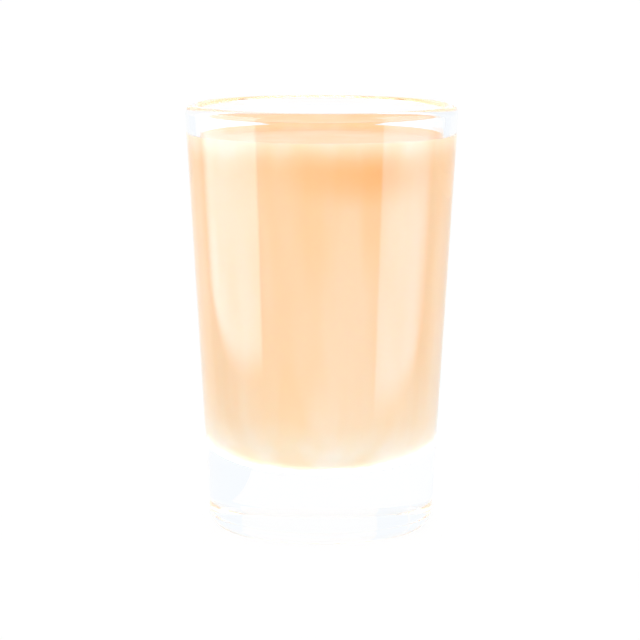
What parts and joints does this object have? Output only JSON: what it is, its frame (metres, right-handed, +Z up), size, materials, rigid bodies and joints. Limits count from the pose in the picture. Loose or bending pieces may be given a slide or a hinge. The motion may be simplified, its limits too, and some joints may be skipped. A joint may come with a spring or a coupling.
{
  "type": "butterscotch cream shot in a heavy-base shot glass",
  "caption": "Tapered shot glass with a thick clear base, filled nearly to the rim with opaque pale peach butterscotch cream.",
  "frame": {"origin": "middle of the foot, on the surface that the glass stands on", "axes": "+Z up along the glass's axis of revolution; -Y towards the viewer"},
  "size_m": [0.0446, 0.0446, 0.07],
  "materials": {
    "clear_glass": "clear, colourless, fire-polished",
    "butterscotch_cream": "opaque smooth cream liquid with a wet sheen"
  },
  "bodies": {
    "root": {"glass": "clear_glass", "cream": "butterscotch_cream"}
  },
  "joints": []
}
